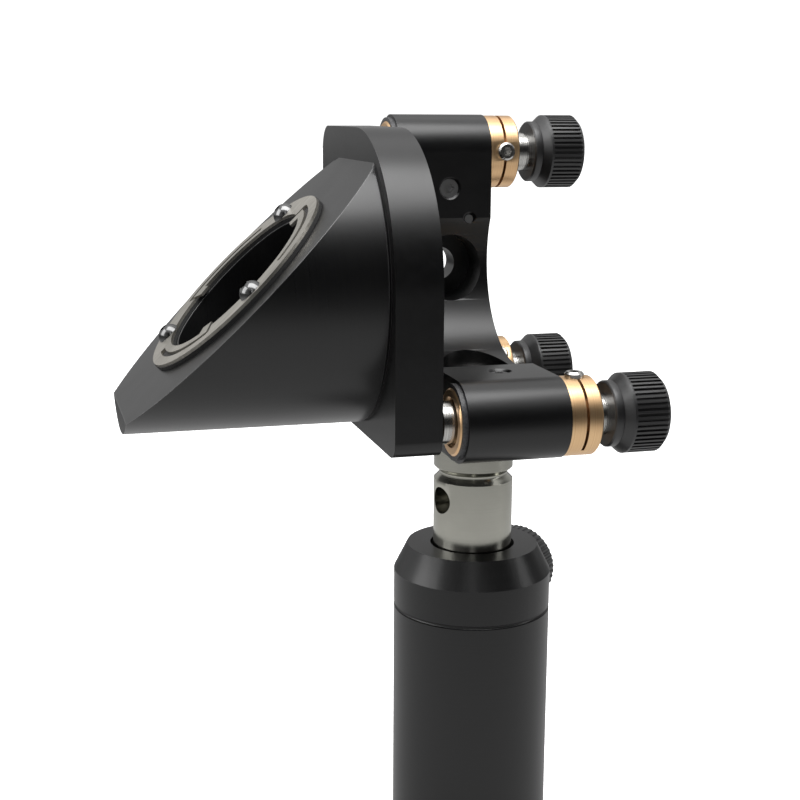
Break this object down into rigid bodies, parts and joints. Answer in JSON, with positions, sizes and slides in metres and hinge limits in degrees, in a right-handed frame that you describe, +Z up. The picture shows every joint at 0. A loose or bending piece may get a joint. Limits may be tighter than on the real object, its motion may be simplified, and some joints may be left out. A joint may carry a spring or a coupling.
{
  "type": "kinematic mirror mount",
  "caption": "Kinematic mount on a post in a holder, with locking fine adjusters and a cylindrical nose cut at 45 degrees for a round mirror.",
  "frame": {"origin": "centre of the holder's bottom face, on the post axis", "axes": "+Z up along the post; +X from the mirror towards the knobs, along the adjusters; -Y the side with the single lower adjuster"},
  "size_m": [0.0789, 0.0496, 0.118],
  "materials": {
    "black_anodised": "satin black anodised",
    "bronze": "turned bronze",
    "black_steel": "black oxide",
    "gasket": "matt",
    "nylon": "matt",
    "post_steel": "turned stainless",
    "ring_steel": "brushed spring steel",
    "bright_steel": "polished steel"
  },
  "bodies": {
    "holder": {"post_holder": "black_anodised"},
    "lock_tip": {"lock_tip": "nylon"},
    "lock_screw": {"lock_wheel": "black_anodised", "lock_stud": "bright_steel"},
    "post": {"post": "post_steel", "fixing_screw": "bright_steel"},
    "frame": {"back_frame": "black_anodised", "bushing_near": "bronze", "bushing_far": "bronze", "bushing_top": "bronze", "bushing_ring_near": "black_steel", "bushing_ring_far": "black_steel", "bushing_ring_top": "black_steel", "collar_lock_near": "bright_steel", "collar_lock_far": "bright_steel", "collar_lock_top": "bright_steel", "frame_screw_upper": "bright_steel", "frame_screw_lower": "bright_steel", "spring_pin_upper": "bright_steel", "spring_pin_lower": "bright_steel"},
    "lower_spring": {"spring_lower": "bright_steel"},
    "upper_spring": {"spring_upper": "bright_steel"},
    "near_tip": {"ball_near": "bright_steel"},
    "far_tip": {"ball_far": "bright_steel"},
    "top_tip": {"ball_top": "bright_steel"},
    "near_screw": {"adjuster_near": "bright_steel", "knob_near": "black_anodised"},
    "far_screw": {"adjuster_far": "bright_steel", "knob_far": "black_anodised"},
    "top_screw": {"adjuster_top": "bright_steel", "knob_top": "black_anodised"},
    "mirror_plate": {"front_plate": "black_anodised", "cone_seat": "bright_steel", "vee_seat": "bright_steel", "flat_seat": "bright_steel", "plate_pin_upper": "bright_steel", "plate_pin_lower": "bright_steel", "nose": "black_anodised", "nose_screws": "black_steel", "ring_gasket": "gasket", "retaining_ring": "ring_steel", "ring_screw_near": "bright_steel", "ring_screw_low": "bright_steel", "ring_screw_high": "bright_steel"}
  },
  "joints": [
    {"name": "post_height", "type": "slide", "parent": "holder", "child": "post", "axis": [0, 0, 1], "range_m": [-0.01, 0.018]},
    {"name": "mount_turn", "type": "hinge", "parent": "post", "child": "frame", "pos_m": [0, 0, 0.06835], "axis": [0, 0, 1], "continuous": true},
    {"name": "lock_travel", "type": "slide", "parent": "holder", "child": "lock_tip", "axis": [0.7071, 0.7071, 0], "range_m": [-0.00004, 0.0012]},
    {"name": "lock_turn", "type": "hinge", "parent": "lock_tip", "child": "lock_screw", "pos_m": [0.01131, 0.01131, 0.0412], "axis": [0.7071, 0.7071, 0], "range_deg": [-20, 541]},
    {"name": "near_travel", "type": "slide", "parent": "frame", "child": "near_tip", "axis": [1, 0, 0], "range_m": [-0.001, 0.0005]},
    {"name": "near_knob_turn", "type": "hinge", "parent": "near_tip", "child": "near_screw", "pos_m": [-0.0125, -0.0187, 0.0745], "axis": [1, 0, 0], "range_deg": [-1441, 721]},
    {"name": "far_travel", "type": "slide", "parent": "frame", "child": "far_tip", "axis": [1, 0, 0], "range_m": [-0.001, 0.0005]},
    {"name": "far_knob_turn", "type": "hinge", "parent": "far_tip", "child": "far_screw", "pos_m": [-0.0125, 0.0187, 0.0745], "axis": [1, 0, 0], "range_deg": [-1441, 721]},
    {"name": "top_travel", "type": "slide", "parent": "frame", "child": "top_tip", "axis": [1, 0, 0], "range_m": [-0.001, 0.0005]},
    {"name": "top_knob_turn", "type": "hinge", "parent": "top_tip", "child": "top_screw", "pos_m": [-0.0125, 0.0187, 0.1119], "axis": [1, 0, 0], "range_deg": [-1441, 721]},
    {"name": "plate_corner", "type": "hinge", "parent": "frame", "child": "lower_spring", "pos_m": [-0.0125, 0, 0.0932], "axis": [0, -0.7071, -0.7071], "range_deg": [-2.19, 1.1], "deforming": ["spring_lower"]},
    {"name": "plate_pitch", "type": "hinge", "parent": "lower_spring", "child": "upper_spring", "pos_m": [-0.0125, 0.0187, 0.0745], "axis": [0, 1, 0], "range_deg": [-1.55, 0.79], "deforming": ["spring_upper"]},
    {"name": "plate_yaw", "type": "hinge", "parent": "upper_spring", "child": "mirror_plate", "pos_m": [-0.0125, 0.0187, 0.0745], "axis": [0, 0, 1], "range_deg": [-1.55, 0.79]}
  ],
  "couplings": [
    {"joint": "lock_turn", "follows": "lock_travel", "rad_per_m": 7854},
    {"joint": "near_knob_turn", "follows": "near_travel", "rad_per_m": 25133},
    {"joint": "plate_yaw", "follows": "near_travel", "rad_per_m": 26.738},
    {"joint": "far_knob_turn", "follows": "far_travel", "rad_per_m": 25133},
    {"joint": "plate_corner", "follows": "far_travel", "rad_per_m": 37.813},
    {"joint": "top_knob_turn", "follows": "top_travel", "rad_per_m": 25133},
    {"joint": "plate_pitch", "follows": "top_travel", "rad_per_m": 26.738}
  ]
}
